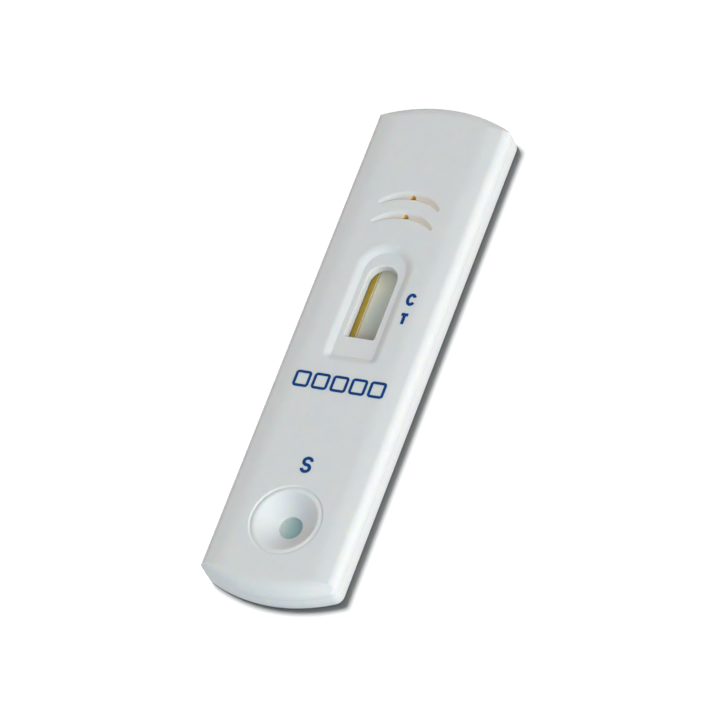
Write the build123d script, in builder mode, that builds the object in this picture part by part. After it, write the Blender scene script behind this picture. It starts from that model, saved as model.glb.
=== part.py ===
from build123d import *
import os
from math import asin, atan2, cos, degrees, radians, sin, sqrt, tan

# Lateral flow cassette: a moulded two-part case around a paper test strip.
# X runs across the width, Y along the length with the sample well at -Y, and Z up.
# The origin is the centre of the base. All sizes are in millimetres.

# Outside form
length = 76.8
width = 20.0
height = 4.8
end_bow = 2.3  # how far each arched end stands beyond its corners
corner_radius = 1.4
bevel_width = 3.0  # sloping strip along each long edge of the top
bevel_drop = 0.5
crease_radius = 8.0  # soft change from the flat top to the bevel
side_edge_radius = 1.3  # rounded top edge along the sides
end_edge_radius = 1.8  # and along the arched ends
base_chamfer = 0.3
seam_chamfer = 0.05  # hairline where the two halves meet

# Walls, and the lip that keys the halves together
wall = 1.2
roof = 1.2
floor = 0.8
upper_depth = 2.4  # height of the upper half's outer wall
lip_thickness = 0.5
lip_clearance = 0.05
lip_headroom = 0.15

# Test strip
strip_width = 3.8
strip_clearance = 0.1
card_thickness = 0.3
membrane_thickness = 0.15
conjugate_thickness = 0.45
sample_thickness = 0.9
absorbent_thickness = 0.8
sample_length = 20.0
conjugate_length = 8.0
membrane_length = 25.0
pad_overlap = 2.0
pad_bend = 0.6  # length over which a pad climbs onto its neighbour
absorbent_reach = 4.0  # least length of the absorbent pad beyond the membrane
strip_end_gap = 8.0  # from the strip's far end to the end of the case

# Bed, rails and pins inside the case
bed_height = 0.2
bed_rib_width = 1.2
bed_rib_pitch = 6.0
rail_height = 1.0
rail_thickness = 0.8
press_bar_width = 1.0
pin_rows = 3
pin_radius = 0.8
pin_clearance = 0.02
pin_tip_gap = 0.3
pin_end_inset = 7.0  # from the outer pins to the end of the case
boss_radius = 1.7
boss_wall_gap = 0.1

# Sample well
well_end_inset = 10.7  # from the well's centre to the near end of the case
well_pad_lead = 4.0  # sample pad beyond the well's centre
well_hole_radius = 1.65
well_land = 0.35  # straight part of the hole above the pad
well_lip_radius = 4.55
well_lip_round = 0.5
well_groove_radius = 5.05
well_groove_depth = 0.2
well_rim_radius = 5.25
funnel_foot = 1.0  # width of the ring that presses on the pad

# Result window, and the shallow arched recess around it
window_lead = 8.7  # from the membrane's near end to the window
window_length = 11.45
window_width = 4.4
window_corner = 0.25
window_chamfer = 0.12
window_wall = 1.25
recess_depth = 0.5
recess_side = 0.9
recess_near = 3.1
recess_far = 2.05
recess_slope = 0.93
recess_corner = 0.25
recess_edge_radius = 1.2

# Vents: crescent grooves, each with a small hole at its middle
vent_rows = 2
vent_pitch = 3.1
vent_window_gap = 7.7  # from the window to the first groove
vent_bow_radius = 7.15
vent_half_span = 4.5
vent_depth = 0.45
vent_tip_depth = 0.18
vent_wall_angle = 36.0  # slope of the groove's two walls, in degrees
vent_hole_radius = 0.42

# Levels
parting = height - upper_depth
roof_underside = height - roof
skirt_depth = roof_underside - parting
bevel_foot = height - bevel_drop
bed_top = floor + bed_height
card_top = bed_top + card_thickness
membrane_top = card_top + membrane_thickness
sample_top = card_top + sample_thickness
absorbent_top = card_top + absorbent_thickness
window_floor = height - recess_depth
window_underside = window_floor - window_wall
above_top = height + recess_depth  # where cuts from above start

# Places along the length
near_end = -length / 2
far_end = length / 2
shoulder = far_end - end_bow
well_y = near_end + well_end_inset
strip_near = well_y - well_pad_lead
sample_end = strip_near + sample_length
conjugate_start = sample_end - pad_overlap
conjugate_end = conjugate_start + conjugate_length
membrane_start = conjugate_end - pad_overlap
membrane_end = membrane_start + membrane_length
absorbent_start = membrane_end - pad_overlap
strip_far = max(far_end - strip_end_gap, membrane_end + absorbent_reach)
strip_middle = (strip_near + strip_far) / 2
strip_length = strip_far - strip_near
window_near = membrane_start + window_lead
window_far = window_near + window_length
pin_pitch = (length - 2 * pin_end_inset) / (pin_rows - 1)

# Places across the width
side = width / 2
flat_half = side - bevel_width
skirt = wall - lip_thickness - lip_clearance
channel = strip_width + 2 * strip_clearance
channel_length = strip_length + 2 * strip_clearance
pin_x = side - wall - boss_wall_gap - boss_radius
window_half = window_width / 2


def arch(margin_side, margin_near, margin_far, corner):
    """Add an arch around the window to the open sketch: square at its near end, round at its far end."""
    half = window_half + margin_side
    near = window_near - margin_near
    far = window_far + margin_far
    spring = far - half
    with BuildLine() as outline:
        FilletPolyline((-half, spring), (-half, near), (half, near), (half, spring), radius=corner)
        ThreePointArc((half, spring), (0, far), (-half, spring))
    make_face(outline.edges())


def recess_top_arch():
    """Add the outline of the recess where its slopes reach the top."""
    arch(recess_side + recess_slope, recess_near + recess_slope, recess_far + recess_slope,
         recess_corner + recess_slope)


def bent_profile(start, bend_start, bend_end, end, start_level, end_level, thickness):
    """Side profile of a pad that bends from one level to another, as points of length and height."""
    under = [(start, start_level), (bend_start, start_level), (bend_end, end_level), (end, end_level)]
    over = [(y, z + thickness) for y, z in reversed(under)]
    return under + over


# Plan outline of the case: straight sides and arched ends, first with sharp corners and then with rounded ones
with BuildSketch() as sharp_plan:
    with BuildLine():
        Line((side, -shoulder), (side, shoulder))
        ThreePointArc((side, shoulder), (0, far_end), (-side, shoulder))
        Line((-side, shoulder), (-side, -shoulder))
        ThreePointArc((-side, -shoulder), (0, near_end), (side, -shoulder))
    make_face()

with BuildSketch() as plan:
    add(sharp_plan.sketch)
    fillet(plan.vertices(), corner_radius)

# Lower half: a tray with the strip's bed, its rails and the pin sockets
with BuildPart() as lower_housing:
    with BuildSketch():
        add(plan.sketch)
    extrude(amount=parting)
    chamfer(lower_housing.edges().group_by(Axis.Z)[0], base_chamfer)
    chamfer(lower_housing.edges().group_by(Axis.Z)[-1], seam_chamfer)
    with BuildSketch(Plane.XY.offset(floor)):
        offset(plan.sketch, amount=-wall)
    extrude(amount=parting - floor, mode=Mode.SUBTRACT)

    # lip that stands up inside the upper half's skirt
    with BuildSketch(Plane.XY.offset(parting)):
        offset(plan.sketch, amount=lip_thickness - wall)
        offset(plan.sketch, amount=-wall, mode=Mode.SUBTRACT)
    extrude(amount=skirt_depth - lip_headroom)

    # rails around the strip, and the ribs it lies on
    with BuildSketch(Plane.XY.offset(floor)):
        with Locations((0, strip_middle)):
            Rectangle(channel + 2 * rail_thickness, channel_length + 2 * rail_thickness)
            Rectangle(channel, channel_length, mode=Mode.SUBTRACT)
    extrude(amount=rail_height)
    with BuildSketch(Plane.XY.offset(floor)):
        rib_count = int((strip_length - bed_rib_width) / bed_rib_pitch) + 1
        with Locations((0, strip_middle)):
            with GridLocations(0, bed_rib_pitch, 1, rib_count):
                Rectangle(channel, bed_rib_width)
    extrude(amount=bed_height)

    # round bosses with hexagonal sockets, which grip a round pin on six lines
    with BuildSketch(Plane.XY.offset(floor)):
        with GridLocations(2 * pin_x, pin_pitch, 2, pin_rows):
            Circle(boss_radius)
            RegularPolygon(pin_radius + pin_clearance, 6, major_radius=False, mode=Mode.SUBTRACT)
    extrude(amount=parting - floor)

# Upper half: the crowned lid with its pins, press bars, window, well and vents
with BuildPart() as upper_housing:
    with BuildSketch(Plane.XY.offset(parting)):
        add(sharp_plan.sketch)
    extrude(amount=upper_depth)
    fillet(upper_housing.edges().filter_by(GeomType.CIRCLE).group_by(Axis.Z)[-1], end_edge_radius)
    with BuildSketch(Plane.XZ) as crown:
        with BuildLine():
            Polyline((-side, 0), (-side, bevel_foot), (-flat_half, height), (flat_half, height),
                     (side, bevel_foot), (side, 0), close=True)
        make_face()
        fillet(crown.vertices().group_by(Axis.Y)[-1], crease_radius)
        fillet(crown.vertices().group_by(Axis.Y)[1], side_edge_radius)
    extrude(amount=length, both=True, mode=Mode.INTERSECT)
    with BuildSketch(Plane.XY.offset(parting)):
        add(plan.sketch)
    extrude(amount=upper_depth, mode=Mode.INTERSECT)
    chamfer(upper_housing.edges().group_by(Axis.Z)[0], seam_chamfer)
    with BuildSketch(Plane.XY.offset(parting)):
        offset(plan.sketch, amount=-skirt)
    extrude(amount=skirt_depth, mode=Mode.SUBTRACT)

    # pins, each on a boss that meets its socket's boss
    with BuildSketch(Plane.XY.offset(parting)):
        with GridLocations(2 * pin_x, pin_pitch, 2, pin_rows):
            Circle(boss_radius)
    extrude(amount=skirt_depth)
    with BuildSketch(Plane.XY.offset(floor + pin_tip_gap)):
        with GridLocations(2 * pin_x, pin_pitch, 2, pin_rows):
            Circle(pin_radius)
    extrude(amount=parting - floor - pin_tip_gap)

    # bars that press the strip's laps together
    for bar_y, bar_foot in (
        (sample_end - pad_overlap / 2, sample_top + conjugate_thickness),
        (conjugate_end - pad_overlap / 2, membrane_top + conjugate_thickness),
        (membrane_end - pad_overlap / 2, membrane_top + absorbent_thickness),
        (strip_far - pad_overlap / 2, absorbent_top),
    ):
        with BuildSketch(Plane.XY.offset(bar_foot)):
            with Locations((0, bar_y)):
                Rectangle(strip_width, press_bar_width)
        extrude(amount=roof_underside - bar_foot)

    # window: a frame under the roof, a recess with sloping sides, and the opening
    with BuildSketch(Plane.XY.offset(window_underside)):
        recess_top_arch()
    extrude(amount=roof_underside - window_underside)
    with BuildSketch(Plane.XY.offset(window_floor)):
        arch(recess_side, recess_near, recess_far, recess_corner)
    with BuildSketch(Plane.XY.offset(height)):
        recess_top_arch()
    loft(ruled=True, mode=Mode.SUBTRACT)
    top_face = upper_housing.faces().sort_by(Axis.Z)[-1]
    fillet(top_face.inner_wires()[0].edges(), recess_edge_radius)
    with BuildSketch(Plane.XY.offset(window_underside)):
        arch(0, 0, 0, window_corner)
    extrude(amount=window_wall, mode=Mode.SUBTRACT)
    recess_face = upper_housing.faces().filter_by(Plane.XY).group_by(Axis.Z)[-2][0]
    chamfer(recess_face.inner_wires()[0].edges(), window_chamfer)

    # sample well: a funnel whose foot presses on the pad, with a rounded lip inside a ring groove
    well_plane = Plane((0, well_y, 0), x_dir=(0, 1, 0), z_dir=(1, 0, 0))
    well_axis = Axis((0, well_y, 0), (0, 0, 1))
    with BuildSketch(well_plane):
        with BuildLine():
            Polyline((0, sample_top), (well_hole_radius + funnel_foot, sample_top),
                     (well_lip_radius, roof_underside), (0, roof_underside), close=True)
        make_face()
    revolve(axis=well_axis)
    with BuildSketch(well_plane) as well:
        with BuildLine():
            Polyline((0, sample_top), (well_hole_radius, sample_top), (well_hole_radius, sample_top + well_land),
                     (well_lip_radius, height), (well_groove_radius, height - well_groove_depth),
                     (well_rim_radius, height), (well_rim_radius, above_top), (0, above_top), close=True)
        make_face()
        fillet(well.vertices().sort_by_distance((well_lip_radius, height))[0], well_lip_round)
    revolve(axis=well_axis, mode=Mode.SUBTRACT)

    # vents: part of a V-shaped ring dips into the top at a tilt, so each groove is deepest at its middle
    vent_sag = vent_bow_radius - sqrt(vent_bow_radius**2 - vent_half_span**2)
    vent_tilt = atan2(vent_depth - vent_tip_depth, vent_sag)
    vent_half_angle = degrees(asin(vent_half_span / vent_bow_radius))
    outward = Vector(0, cos(vent_tilt), -sin(vent_tilt))
    cutter_height = 2 * vent_depth
    cutter_half = cutter_height / tan(radians(vent_wall_angle))
    for row in range(vent_rows):
        vent_y = window_far + vent_window_gap + row * vent_pitch
        groove_middle = Vector(0, vent_y, height - vent_depth)
        cutter_plane = Plane(groove_middle, x_dir=outward, z_dir=(1, 0, 0))
        with BuildSketch(cutter_plane, mode=Mode.PRIVATE) as groove:
            with BuildLine():
                Polyline((0, 0), (cutter_half, cutter_height), (-cutter_half, cutter_height), close=True)
            make_face()
        ring_axis = Axis(groove_middle - outward * vent_bow_radius, cutter_plane.y_dir)
        groove_start = groove.sketch.rotate(ring_axis, -vent_half_angle)
        revolve(groove_start, axis=ring_axis, revolution_arc=2 * vent_half_angle, mode=Mode.SUBTRACT)
        with Locations((0, vent_y, height)):
            Hole(vent_hole_radius, depth=roof)

# Test strip: a plastic card that carries the membrane and the lapped pads
with BuildPart() as backing_card:
    with BuildSketch(Plane.XY.offset(bed_top)):
        with Locations((0, strip_middle)):
            Rectangle(strip_width, strip_length)
    extrude(amount=card_thickness)

with BuildPart() as membrane:
    with BuildSketch(Plane.XY.offset(card_top)):
        with Locations((0, (membrane_start + membrane_end) / 2)):
            Rectangle(strip_width, membrane_length)
    extrude(amount=membrane_thickness)

with BuildPart() as conjugate_pad:
    with BuildSketch(Plane.YZ):
        with BuildLine():
            Polyline(*bent_profile(conjugate_start, membrane_start - pad_bend, membrane_start, conjugate_end,
                                   card_top, membrane_top, conjugate_thickness), close=True)
        make_face()
    extrude(amount=strip_width / 2, both=True)

with BuildPart() as sample_pad:
    with BuildSketch(Plane.YZ):
        with BuildLine():
            Polyline(*bent_profile(strip_near, conjugate_start - pad_bend, conjugate_start, sample_end,
                                   card_top, card_top + conjugate_thickness, sample_thickness), close=True)
        make_face()
    extrude(amount=strip_width / 2, both=True)

with BuildPart() as absorbent_pad:
    with BuildSketch(Plane.YZ):
        with BuildLine():
            Polyline(*bent_profile(absorbent_start, membrane_end, membrane_end + pad_bend, strip_far,
                                   membrane_top, card_top, absorbent_thickness), close=True)
        make_face()
    extrude(amount=strip_width / 2, both=True)

pieces = {
    "upper_housing": upper_housing,
    "lower_housing": lower_housing,
    "backing_card": backing_card,
    "membrane": membrane,
    "conjugate_pad": conjugate_pad,
    "sample_pad": sample_pad,
    "absorbent_pad": absorbent_pad,
}
os.makedirs("parts", exist_ok=True)
for name, piece in pieces.items():
    piece.part.label = name
    export_step(piece.part, f"parts/{name}.step")
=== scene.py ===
import math

import bmesh
import bpy
from mathutils import Matrix, Vector


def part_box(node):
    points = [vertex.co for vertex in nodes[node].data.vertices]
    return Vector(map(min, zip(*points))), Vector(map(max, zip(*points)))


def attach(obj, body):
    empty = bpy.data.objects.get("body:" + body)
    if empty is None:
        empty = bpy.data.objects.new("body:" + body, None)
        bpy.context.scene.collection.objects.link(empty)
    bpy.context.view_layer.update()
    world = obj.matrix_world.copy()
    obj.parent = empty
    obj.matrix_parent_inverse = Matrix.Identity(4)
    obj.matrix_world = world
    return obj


# Looks of the lateral flow cassette: finishes for the moulded case and the paper strip, the print
# on its top, and the stage that it lies on.

MM = 0.001

# Camera: where it stands and how it is turned
VIEW_AZIMUTH = math.radians(45.94)
VIEW_ELEVATION = math.radians(53.28)
VIEW_ROLL = math.radians(-30.79)
VIEW_DISTANCE = 743.0 * MM
VIEW_TARGET = Vector((-0.76, -0.22, 0.29)) * MM
LENS_MM = 275.75
SENSOR_MM = 36.0
CLIP_RANGE = (0.01, 10.0)

# Print on the flat top: three letters and a row of boxes for a written number
INK_RISE = 0.015 * MM
INK_ROOT = 0.01 * MM  # how far the ink reaches into the plastic
LETTER_STROKE = 0.46 * MM
CONTROL_PLACE = (5.58 * MM, 7.63 * MM)
TEST_PLACE = (5.5 * MM, 4.5 * MM)
LINE_LETTER_SIZE = (1.45 * MM, 1.95 * MM)
SAMPLE_PLACE = (-0.05 * MM, -19.25 * MM)
SAMPLE_LETTER_SIZE = (1.6 * MM, 2.5 * MM)
C_TIP = 32  # degrees, where the line of the C starts on its ellipse
S_TIP = 5  # the same for each bowl of the S
BOX_COUNT = 5
BOX_ROW_PLACE = (0.1 * MM, -6.63 * MM)
BOX_PITCH = 2.8 * MM
BOX_SIZE = (2.4 * MM, 2.5 * MM)
BOX_CORNER = 0.3 * MM
BOX_STROKE = 0.4 * MM
ARC_STEP = math.radians(9)

# Faces with a tone of their own, found by their place; most of these tones are painted light and
# shade. A turn or a tilt is a limit on the face's normal: on its X or Y part, or on its Z part.
BED_REACH = (2.9 * MM, 33.0 * MM)
BED_LEVEL = 0.85 * MM
RAIL_REACH = 2.1 * MM
RAIL_TURN = 0.7
VENT_PLACES = (20.15 * MM, 23.25 * MM)
VENT_HOLE_REACH = 0.46 * MM
VENT_REACH = 4.7 * MM
VENT_SPREAD = 2.0 * MM  # along the case, from each vent's hole to its tips
VENT_LEVELS = (4.2 * MM, 4.79 * MM)
VENT_FLOOR_TURN = -0.02
VENT_SIDE_TURN = 0.1
WINDOW_SPAN = (1.0 * MM, 12.45 * MM)
WINDOW_REACH = 2.5 * MM
WINDOW_EDGE_LEVELS = (4.17 * MM, 4.295 * MM)
WINDOW_EDGE_TILT = (0.3, 0.95)
WINDOW_EDGE_TURN = 0.3
WINDOW_WALL_LEVELS = (3.0 * MM, 4.2 * MM)
WINDOW_WALL_TILT = 0.3
WINDOW_ARCH_TURN = -0.2
SEAM_LEVEL = 2.4 * MM
SEAM_HALF = 0.06 * MM

# Where painted light and shade change across a surface, from start to end
VENT_SHADE_LEVELS = (4.76 * MM, 4.46 * MM)  # down a vent's floor
VENT_SHADE_SIDE = (0.8 * MM, 3.8 * MM)  # across it, toward the side that light doesn't reach
STRIP_SIDES = (-1.9 * MM, 1.9 * MM)
SAMPLE_SHADE_SPAN = (-1.3 * MM, 3.9 * MM)
SAMPLE_FIBRE_SHARE = 0.7  # how far single fibres shift the painted shade's tone

# Tones of the tinted surfaces and pads, dark and light. Apart from the seam and the conjugate pad, each
# is painted light or shade
# Edge tones: painted shade on the window's left chamfer, and the seam's own darker line
EDGE_SHADE_AND_SEAM_TONES = ((0.66, 0.68, 0.69), (0.69, 0.70, 0.71))
# Painted light on the wall of the window's arched end
ARCH_LIGHT_TONES = ((0.79, 0.81, 0.82), (0.81, 0.83, 0.84))
# Painted warm shade on the vents' near sides
VENT_SIDE_SHADE_TONES = ((0.78, 0.74, 0.67), (0.82, 0.78, 0.71))
# Painted warm shade in the vent holes: orange stands in for warm light inside the shaded case
VENT_HOLE_WARM_SHADE_TONES = ((0.92, 0.58, 0.18), (0.96, 0.66, 0.26))
# Painted warm shade on the strip's bed and rails, seen in the gap beside the strip
BED_WARM_SHADE_TONES = ((0.60, 0.40, 0.05), (0.67, 0.47, 0.10))
# Painted light on the rails' inner sides
RAIL_LIGHT_TONES = ((0.90, 0.80, 0.56), (0.95, 0.86, 0.64))
CONJUGATE_TONES = ((0.50, 0.40, 0.40), (0.66, 0.55, 0.54))
# The absorbent pad's tan is painted warm shade, seen through the vent holes
ABSORBENT_WARM_SHADE_TONES = ((0.70, 0.46, 0.16), (0.80, 0.58, 0.24))

# Stage. The floor and the world have one colour to the eye and another for the light they give back.
FLOOR_SIZE = 4.0
FLOOR_COLOUR = (0.4, 0.4, 0.4)
FLOOR_BOUNCE = (0.26, 0.258, 0.255)
BACKDROP_COLOUR = (0.9, 0.9, 0.9)
WORLD_COLOUR = (0.86, 0.965, 1.0)
WORLD_STRENGTH = 0.27
SOFTBOXES = (  # name, place and size in metres, colour, power in watts
    ("key", Vector((0.56, -0.05, 0.27)), (0.5, 0.45), (1.0, 0.94, 0.86), 2.75),
    ("front", Vector((0.35, -0.5, 0.8)), (0.8, 0.48), (0.80, 0.94, 1.0), 3.6),
    ("end", Vector((0.35, -0.5, 0.05)), (0.4, 0.1), (0.75, 0.88, 1.0), 0.32),
    ("fill", Vector((-0.6, 0.25, 0.3)), (0.6, 0.5), (1.0, 0.58, 0.36), 1.0),
)
FLOOR_SUN_PLACE = Vector((-0.28, 0.18, 0.94))
FLOOR_SUN_ANGLE = math.radians(16)
FLOOR_SUN_STRENGTH = 7.7

# Places of the colour sockets on a mix node, which share their names with its other sockets
MIX_COLOURS = (6, 7)
MIX_RESULT = 2


def new_material(name):
    """A new node material, with its node tree and its shader."""
    material = bpy.data.materials.new(name)
    material.use_nodes = True
    tree = material.node_tree
    shader = tree.nodes["Principled BSDF"]
    return material, tree, shader


def object_noise(tree, scale, detail=2.0, roughness=0.5):
    """Noise in the object's own metres. Scale is features per metre."""
    coords = tree.nodes.new("ShaderNodeTexCoord")
    noise = tree.nodes.new("ShaderNodeTexNoise")
    noise.inputs["Scale"].default_value = scale
    noise.inputs["Detail"].default_value = detail
    noise.inputs["Roughness"].default_value = roughness
    tree.links.new(coords.outputs["Object"], noise.inputs["Vector"])
    return noise.outputs["Fac"]


def along_axis(tree, axis, start, end):
    """0 to 1 along one axis of the object, between two places in metres."""
    coords = tree.nodes.new("ShaderNodeTexCoord")
    axes = tree.nodes.new("ShaderNodeSeparateXYZ")
    tree.links.new(coords.outputs["Object"], axes.inputs["Vector"])
    span = tree.nodes.new("ShaderNodeMapRange")
    span.inputs["From Min"].default_value = start
    span.inputs["From Max"].default_value = end
    tree.links.new(axes.outputs[axis], span.inputs["Value"])
    return span.outputs["Result"]


def ramp(tree, value, stops):
    """Colour ramp over a value. Stops are pairs of place and linear colour."""
    node = tree.nodes.new("ShaderNodeValToRGB")
    elements = node.color_ramp.elements
    while len(elements) < len(stops):
        elements.new(0.5)
    for element, (place, colour) in zip(elements, stops):
        element.position = place
        element.color = (*colour, 1.0)
    tree.links.new(value, node.inputs["Fac"])
    return node.outputs["Color"]


def mix(tree, factor, first, second, blend="MIX"):
    """Mix two colours, each a socket or a tuple, by a factor, which is a socket or a number."""
    node = tree.nodes.new("ShaderNodeMix")
    node.data_type = "RGBA"
    node.blend_type = blend
    if isinstance(factor, float):
        node.inputs["Factor"].default_value = factor
    else:
        tree.links.new(factor, node.inputs["Factor"])
    for index, colour in zip(MIX_COLOURS, (first, second)):
        if isinstance(colour, tuple):
            node.inputs[index].default_value = (*colour, 1.0)
        else:
            tree.links.new(colour, node.inputs[index])
    return node.outputs[MIX_RESULT]


def add_bump(tree, shader, height, strength, distance):
    """Bump from a height value, with its real distance in metres."""
    node = tree.nodes.new("ShaderNodeBump")
    node.inputs["Strength"].default_value = strength
    node.inputs["Distance"].default_value = distance
    tree.links.new(height, node.inputs["Height"])
    tree.links.new(node.outputs["Normal"], shader.inputs["Normal"])


def housing_material(name="housing_white", shade=None):
    """White moulded plastic: satin, with a fine spark-eroded texture and a faint uneven tone.
    A painted shade, where one is given, is a function of the node tree that returns a colour to multiply
    by."""
    material, tree, shader = new_material(name)
    tone = object_noise(tree, scale=450.0, detail=8.0, roughness=0.75)
    colour = ramp(tree, tone, [(0.3, (0.755, 0.785, 0.808)), (0.7, (0.800, 0.804, 0.812))])
    if shade:
        colour = mix(tree, 1.0, colour, shade(tree), "MULTIPLY")
    tree.links.new(colour, shader.inputs["Base Color"])
    shader.inputs["Roughness"].default_value = 0.55
    shader.inputs["Specular IOR Level"].default_value = 0.3
    shader.inputs["Subsurface Weight"].default_value = 1.0
    shader.inputs["Subsurface Radius"].default_value = (1.0, 0.7, 0.45)
    shader.inputs["Subsurface Scale"].default_value = 0.5 * MM
    grain = object_noise(tree, scale=7000.0)
    add_bump(tree, shader, grain, strength=0.25, distance=0.01 * MM)
    return material


def vent_shade(tree):
    """Painted warm shade on a vent's floor, which deepens toward its foot and toward one side."""
    total = tree.nodes.new("ShaderNodeMath")
    total.use_clamp = True
    tree.links.new(along_axis(tree, "Z", *VENT_SHADE_LEVELS), total.inputs[0])
    tree.links.new(along_axis(tree, "X", *VENT_SHADE_SIDE), total.inputs[1])
    return ramp(tree, total.outputs["Value"], [(0.4, (1.0, 1.0, 1.0)), (1.0, (0.95, 0.85, 0.76))])


def tinted_material(name, dark, light):
    """Smooth tinted surface between two tones: painted warm shade on the strip's bed and in the vents,
    painted light on the rails and the window's arch, painted shade on the window's edge, and the seam's
    line."""
    material, tree, shader = new_material(name)
    tone = object_noise(tree, scale=900.0, detail=3.0)
    colour = ramp(tree, tone, [(0.3, dark), (0.7, light)])
    tree.links.new(colour, shader.inputs["Base Color"])
    shader.inputs["Roughness"].default_value = 0.5
    return material


def membrane_material():
    """Porous white membrane with painted light and shade: creamier and paler toward its far end,
    darker toward its near end, and greyer toward its middle than at its sides.
    """
    material, tree, shader = new_material("membrane_porous")
    pores = object_noise(tree, scale=6000.0, detail=4.0, roughness=0.7)
    speckle = ramp(tree, pores, [(0.3, (0.93, 0.93, 0.93)), (0.7, (1.0, 1.0, 1.0))])
    # painted light toward the far end and painted shade toward the near end
    far_light_near_shade = ramp(tree, along_axis(tree, "Y", *WINDOW_SPAN),
                [(0.0, (0.76, 0.68, 0.57)), (0.5, (0.86, 0.86, 0.78)), (0.8, (1.0, 0.95, 0.80))])
    # painted light at the strip's sides, greyer toward its middle
    across = ramp(tree, along_axis(tree, "X", *STRIP_SIDES),
                  [(0.0, (1.0, 0.98, 0.94)), (0.55, (0.88, 0.88, 0.87)), (1.0, (1.0, 1.0, 0.98))])
    colour = mix(tree, 1.0, mix(tree, 1.0, far_light_near_shade, across, "MULTIPLY"), speckle, "MULTIPLY")
    tree.links.new(colour, shader.inputs["Base Color"])
    shader.inputs["Roughness"].default_value = 0.85
    add_bump(tree, shader, pores, strength=0.5, distance=0.02 * MM)
    return material


def pad_material(name, dark, light):
    """Fibrous pad, between two tones."""
    material, tree, shader = new_material(name)
    fibres = object_noise(tree, scale=3500.0, detail=5.0, roughness=0.75)
    colour = ramp(tree, fibres, [(0.32, dark), (0.68, light)])
    tree.links.new(colour, shader.inputs["Base Color"])
    shader.inputs["Roughness"].default_value = 0.95
    add_bump(tree, shader, fibres, strength=0.8, distance=0.06 * MM)
    return material


def sample_pad_material():
    """Fibre pad with painted light and shade: pale grey-green toward one side and shaded teal toward the
    other.
    """
    material, tree, shader = new_material("pad_sample_painted_shade")
    across = along_axis(tree, "X", *SAMPLE_SHADE_SPAN)
    fibres = object_noise(tree, scale=4500.0, detail=5.0, roughness=0.8)
    pad_shade = tree.nodes.new("ShaderNodeMath")
    pad_shade.operation = "MULTIPLY_ADD"
    tree.links.new(fibres, pad_shade.inputs[0])
    pad_shade.inputs[1].default_value = SAMPLE_FIBRE_SHARE
    tree.links.new(across, pad_shade.inputs[2])
    stops = [(0.3, (0.62, 0.65, 0.61)), (0.57, (0.37, 0.51, 0.50)), (0.78, (0.29, 0.42, 0.44))]
    tree.links.new(ramp(tree, pad_shade.outputs["Value"], stops), shader.inputs["Base Color"])
    shader.inputs["Roughness"].default_value = 0.95
    add_bump(tree, shader, fibres, strength=0.8, distance=0.06 * MM)
    return material


def card_material():
    """Smooth backing card."""
    material, tree, shader = new_material("card_cream")
    tone = object_noise(tree, scale=300.0)
    colour = ramp(tree, tone, [(0.35, (0.72, 0.66, 0.46)), (0.65, (0.76, 0.70, 0.50))])
    tree.links.new(colour, shader.inputs["Base Color"])
    shader.inputs["Roughness"].default_value = 0.4
    return material


def ink_material():
    """Pad-printed blue ink, a little uneven in its cover."""
    material, tree, shader = new_material("ink_blue")
    cover = object_noise(tree, scale=2500.0, detail=3.0)
    colour = ramp(tree, cover, [(0.3, (0.003, 0.044, 0.19)), (0.75, (0.006, 0.070, 0.27))])
    tree.links.new(colour, shader.inputs["Base Color"])
    shader.inputs["Roughness"].default_value = 0.6
    shader.inputs["Specular IOR Level"].default_value = 0.12
    return material


def seen_directly(tree):
    """1 for camera, glossy and transmission rays, which show the white background, and 0 for light's
    own bounces."""
    path = tree.nodes.new("ShaderNodeLightPath")
    total = path.outputs["Is Camera Ray"]
    for kind in ("Is Glossy Ray", "Is Transmission Ray"):
        node = tree.nodes.new("ShaderNodeMath")
        node.operation = "MAXIMUM"
        tree.links.new(total, node.inputs[0])
        tree.links.new(path.outputs[kind], node.inputs[1])
        total = node.outputs[0]
    return total


def floor_material():
    """Pale matt floor, which its own sun brings to white outside the object's shadow."""
    material, tree, shader = new_material("floor_white")
    colour = mix(tree, seen_directly(tree), FLOOR_BOUNCE, FLOOR_COLOUR)
    tree.links.new(colour, shader.inputs["Base Color"])
    shader.inputs["Roughness"].default_value = 1.0
    shader.inputs["Specular IOR Level"].default_value = 0.0
    return material


def dress(node, material):
    """Give an object one material."""
    node.data.materials.clear()
    node.data.materials.append(material)


def dress_part(node, material, test):
    """Give another material to the faces of a dressed node that pass a test, which takes a face's
    middle in metres and its normal."""
    if material.name not in node.data.materials:
        node.data.materials.append(material)
    index = node.data.materials.find(material.name)
    for face in node.data.polygons:
        if test(node.matrix_world @ face.center, face.normal):
            face.material_index = index


def in_bed(place, normal):
    """True on the strip's bed and its rails."""
    return abs(place.x) < BED_REACH[0] and abs(place.y) < BED_REACH[1] and place.z > BED_LEVEL


def in_rail_side(place, normal):
    """True on the inner sides of the two rails beside the strip, which get a pale tone of painted light.
    """
    return in_bed(place, normal) and abs(place.x) < RAIL_REACH and abs(normal.x) > RAIL_TURN


def in_vent_hole(place, normal):
    """True on the walls of the two vent holes."""
    return any(math.hypot(place.x, place.y - y) < VENT_HOLE_REACH for y in VENT_PLACES)


def in_vent(place, normal):
    """True inside the two vents, apart from their holes."""
    if in_vent_hole(place, normal) or abs(place.x) > VENT_REACH:
        return False
    if not VENT_LEVELS[0] < place.z < VENT_LEVELS[1]:
        return False
    return any(abs(place.y - y) < VENT_SPREAD for y in VENT_PLACES)


def in_vent_floor(place, normal):
    """True on the sloping floors of the vents."""
    return in_vent(place, normal) and normal.y < VENT_FLOOR_TURN


def in_vent_side(place, normal):
    """True on the thin near sides of the vents, which get painted warm shade."""
    return in_vent(place, normal) and normal.y > VENT_SIDE_TURN


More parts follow.
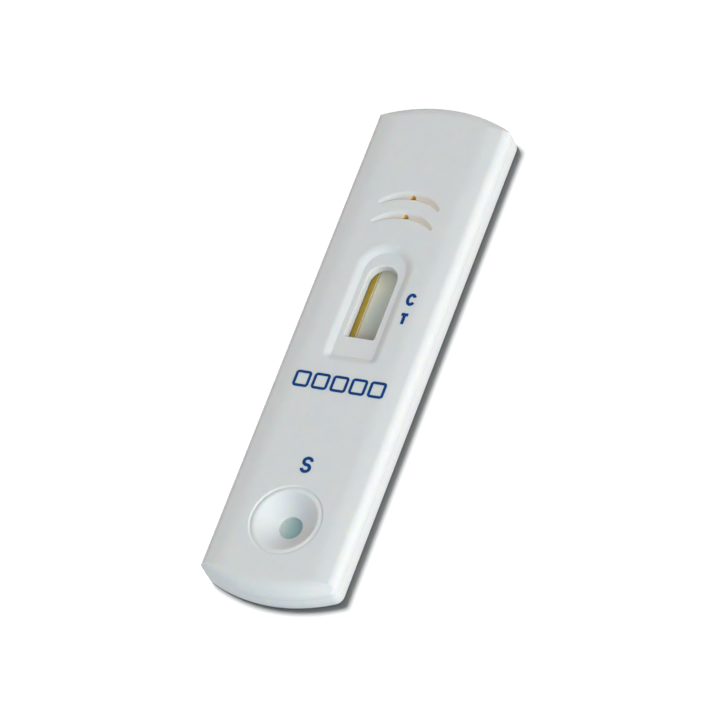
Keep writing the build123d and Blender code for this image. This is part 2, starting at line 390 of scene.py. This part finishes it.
def near_window(place, levels):
    """True within the window's outline, between two levels."""
    along = WINDOW_SPAN[0] - WINDOW_REACH < place.y < WINDOW_SPAN[1] + WINDOW_REACH
    return along and abs(place.x) < WINDOW_REACH and levels[0] < place.z < levels[1]


def in_window_edge(place, normal):
    """True on the fine chamfer along the window's left side, which gets painted shade where it catches
    the light.
    """
    slanted = WINDOW_EDGE_TILT[0] < normal.z < WINDOW_EDGE_TILT[1]
    return near_window(place, WINDOW_EDGE_LEVELS) and slanted and normal.x > WINDOW_EDGE_TURN


def in_window_arch(place, normal):
    """True on the wall of the window's arched end, whose paler tone is painted light that stands in for
    light coming through the plastic from above.
    """
    upright = abs(normal.z) < WINDOW_WALL_TILT
    return near_window(place, WINDOW_WALL_LEVELS) and upright and normal.y < WINDOW_ARCH_TURN


def in_seam(place, normal):
    """True on the fine chamfers where the two halves of the case meet."""
    return abs(place.z - SEAM_LEVEL) < SEAM_HALF


def dress_case(upper, lower):
    """Finish the two halves of the case: white plastic, then faces with painted light or shade, and the
    seam.
    """
    white = housing_material()
    # Darker edge tone: painted shade on the window's left chamfer, and the seam's darker line
    edge_shade_and_seam = tinted_material("edge_shade_and_seam", *EDGE_SHADE_AND_SEAM_TONES)
    dress(upper, white)
    dress(lower, white)
    for node, material, test in (
        # painted shade: the window's left chamfer is darkened where it catches the light
        (upper, edge_shade_and_seam, in_window_edge),
        (upper, edge_shade_and_seam, in_seam),
        # painted light on the window's arched wall
        (upper, tinted_material("arch_painted_light", *ARCH_LIGHT_TONES), in_window_arch),
        # painted shade on the vents' floors
        (upper, housing_material("vent_painted_shade", vent_shade), in_vent_floor),
        # painted warm shade on the vents' near sides
        (upper, tinted_material("vent_side_painted_shade", *VENT_SIDE_SHADE_TONES), in_vent_side),
        # painted warm shade in the vent holes
        (upper, tinted_material("vent_hole_painted_warm_shade", *VENT_HOLE_WARM_SHADE_TONES), in_vent_hole),
        (lower, edge_shade_and_seam, in_seam),
        # painted warm shade on the strip's bed and rails
        (lower, tinted_material("bed_painted_warm_shade", *BED_WARM_SHADE_TONES), in_bed),
        # painted light on the rails' inner sides
        (lower, tinted_material("rail_painted_light", *RAIL_LIGHT_TONES), in_rail_side),
    ):
        dress_part(node, material, test)


def dress_strip(layers):
    """Finish the layers of the strip, each with one material."""
    for name, material in (
        ("membrane", membrane_material()),
        ("backing_card", card_material()),
        ("sample_pad", sample_pad_material()),
        ("conjugate_pad", pad_material("pad_conjugate", *CONJUGATE_TONES)),
        # the absorbent pad's tan is painted warm shade
        ("absorbent_pad", pad_material("pad_absorbent_painted_shade", *ABSORBENT_WARM_SHADE_TONES)),
    ):
        dress(layers[name], material)


def ellipse_arc(centre, radii, start, end):
    """Points along part of an ellipse, with angles in degrees."""
    start, end = math.radians(start), math.radians(end)
    steps = max(1, round(abs(end - start) / ARC_STEP))
    points = []
    for i in range(steps + 1):
        angle = start + (end - start) * i / steps
        x = centre[0] + radii[0] * math.cos(angle)
        y = centre[1] + radii[1] * math.sin(angle)
        points.append(Vector((x, y)))
    return points


def letter_c(width, height):
    """Middle line of a C, about its own centre."""
    return [ellipse_arc((0, 0), (width / 2, height / 2), C_TIP, 360 - C_TIP)]


def letter_t(width, height):
    """Middle lines of a T: its bar, and its stem from the bar's lower edge."""
    top = height / 2
    bar = [Vector((-width / 2, top)), Vector((width / 2, top))]
    stem = [Vector((0, top - LETTER_STROKE / 2)), Vector((0, -top))]
    return [bar, stem]


def letter_s(width, height):
    """Middle line of an S: an upper and a lower bowl."""
    radii = (width / 2, height / 4)
    upper = ellipse_arc((0, height / 4), radii, S_TIP, 270)
    lower = ellipse_arc((0, -height / 4), radii, 90, S_TIP - 180)
    return [upper + lower[1:]]


def round_box(width, height, corner):
    """Closed middle line of a box with round corners."""
    points = []
    for sign_x, sign_y, start in ((1, 1, 0), (-1, 1, 90), (-1, -1, 180), (1, -1, 270)):
        centre = (sign_x * (width / 2 - corner), sign_y * (height / 2 - corner))
        points += ellipse_arc(centre, (corner, corner), start, start + 90)
    return points


def add_stroke(mesh, points, place, width, level, closed=False):
    """Add one inked stroke to a bmesh: a thin closed slab along a middle line, at a height in metres."""
    count = len(points)
    rings = []
    for i, point in enumerate(points):
        before = points[i - 1] if closed or i > 0 else point
        after = points[(i + 1) % count] if closed or i < count - 1 else point
        along = (after - before).normalized()
        across = Vector((-along.y, along.x)) * (width / 2)
        centre = point + Vector(place)
        ring = []
        for offset, z in ((across, level - INK_ROOT), (across, level + INK_RISE),
                          (-across, level + INK_RISE), (-across, level - INK_ROOT)):
            ring.append(mesh.verts.new((centre.x + offset.x, centre.y + offset.y, z)))
        rings.append(ring)
    following = rings[1:] + rings[:1] if closed else rings[1:]
    for first, second in zip(rings, following):
        for k in range(len(first)):
            beside = (k + 1) % len(first)
            mesh.faces.new((first[k], first[beside], second[beside], second[k]))
    if not closed:
        mesh.faces.new(rings[0][::-1])
        mesh.faces.new(rings[-1])


def printed_piece(name, strokes, level, material):
    """Add a printed mark as a mesh piece. Strokes are (points, place, width, closed)."""
    mesh = bmesh.new()
    for points, place, width, closed in strokes:
        add_stroke(mesh, points, place, width, level, closed)
    bmesh.ops.recalc_face_normals(mesh, faces=mesh.faces)
    data = bpy.data.meshes.new(name)
    mesh.to_mesh(data)
    mesh.free()
    piece = bpy.data.objects.new(name, data)
    bpy.context.scene.collection.objects.link(piece)
    dress(piece, material)
    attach(piece, "root")


def build_print(level):
    """Blue print on the top: C and T beside the window, S above the well, and the row of boxes."""
    ink = ink_material()
    line_size = [side - LETTER_STROKE for side in LINE_LETTER_SIZE]
    sample_size = [side - LETTER_STROKE for side in SAMPLE_LETTER_SIZE]
    for name, lines, place in (
        ("print_control", letter_c(*line_size), CONTROL_PLACE),
        ("print_test", letter_t(*line_size), TEST_PLACE),
        ("print_sample", letter_s(*sample_size), SAMPLE_PLACE),
    ):
        printed_piece(name, [(line, place, LETTER_STROKE, False) for line in lines], level, ink)
    outline = round_box(BOX_SIZE[0] - BOX_STROKE, BOX_SIZE[1] - BOX_STROKE, BOX_CORNER)
    boxes = []
    for i in range(BOX_COUNT):
        x = BOX_ROW_PLACE[0] + (i - (BOX_COUNT - 1) / 2) * BOX_PITCH
        boxes.append((outline, (x, BOX_ROW_PLACE[1]), BOX_STROKE, True))
    printed_piece("print_boxes", boxes, level, ink)


def add_lamp(light, place, floor, link_state):
    """Stand a light at a place in metres, turned to the middle of the object. The floor has a sun of
    its own, so it is either all that a lamp lights or the one thing that it leaves out."""
    lamp = bpy.data.objects.new(light.name, light)
    lamp.location = place
    lamp.rotation_euler = (-place).to_track_quat("-Z", "Y").to_euler()
    bpy.context.scene.collection.objects.link(lamp)
    lit = bpy.data.collections.new(light.name + "_lights")
    lit.objects.link(floor)
    lit.collection_objects[0].light_linking.link_state = link_state
    lamp.light_linking.receiver_collection = lit


def add_softbox(floor, name, place, size, colour, power):
    """A rectangular area light for the object."""
    light = bpy.data.lights.new(name, "AREA")
    light.shape = "RECTANGLE"
    light.size, light.size_y = size
    light.color = colour
    light.energy = power
    add_lamp(light, place, floor, "EXCLUDE")


def add_floor_sun(floor):
    """A soft sun for the floor, which lays the object's shadow."""
    light = bpy.data.lights.new("floor_sun", "SUN")
    light.angle = FLOOR_SUN_ANGLE
    light.energy = FLOOR_SUN_STRENGTH
    add_lamp(light, FLOOR_SUN_PLACE, floor, "INCLUDE")


def build_stage():
    """Pale floor, soft studio light from the right, and a pale world that is white to the eye."""
    bpy.ops.mesh.primitive_plane_add(size=FLOOR_SIZE, location=(0, 0, 0))
    floor = bpy.context.object
    floor.name = "floor"
    dress(floor, floor_material())

    for softbox in SOFTBOXES:
        add_softbox(floor, *softbox)
    add_floor_sun(floor)

    world = bpy.data.worlds.new("studio")
    world.use_nodes = True
    tree = world.node_tree
    glow = tuple(WORLD_STRENGTH * channel for channel in WORLD_COLOUR)
    colour = mix(tree, seen_directly(tree), glow, BACKDROP_COLOUR)
    tree.links.new(colour, tree.nodes["Background"].inputs["Color"])
    bpy.context.scene.world = world


def build_camera():
    """Camera at the photograph's viewing angle."""
    data = bpy.data.cameras.new("camera")
    data.lens = LENS_MM
    data.sensor_width = SENSOR_MM
    data.clip_start, data.clip_end = CLIP_RANGE
    camera = bpy.data.objects.new("camera", data)
    turn = Matrix.Rotation(VIEW_AZIMUTH, 4, "Z") @ Matrix.Rotation(math.pi / 2 - VIEW_ELEVATION, 4, "X")
    back = (turn @ Vector((0, 0, 1, 0))).xyz
    place = Matrix.Translation(VIEW_TARGET + back * VIEW_DISTANCE)
    camera.matrix_world = place @ turn @ Matrix.Rotation(VIEW_ROLL, 4, "Z")
    bpy.context.scene.collection.objects.link(camera)
    bpy.context.scene.camera = camera


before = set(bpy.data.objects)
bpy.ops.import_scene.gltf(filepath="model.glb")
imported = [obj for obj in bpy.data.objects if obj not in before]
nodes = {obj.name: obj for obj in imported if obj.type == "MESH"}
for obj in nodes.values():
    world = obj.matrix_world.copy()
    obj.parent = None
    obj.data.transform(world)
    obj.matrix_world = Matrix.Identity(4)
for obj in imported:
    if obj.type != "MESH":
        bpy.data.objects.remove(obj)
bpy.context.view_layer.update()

dress_case(nodes["upper_housing"], nodes["lower_housing"])
dress_strip(nodes)
build_print(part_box("upper_housing")[1].z)
build_stage()
build_camera()
scene = bpy.context.scene
scene.view_settings.view_transform = "Standard"
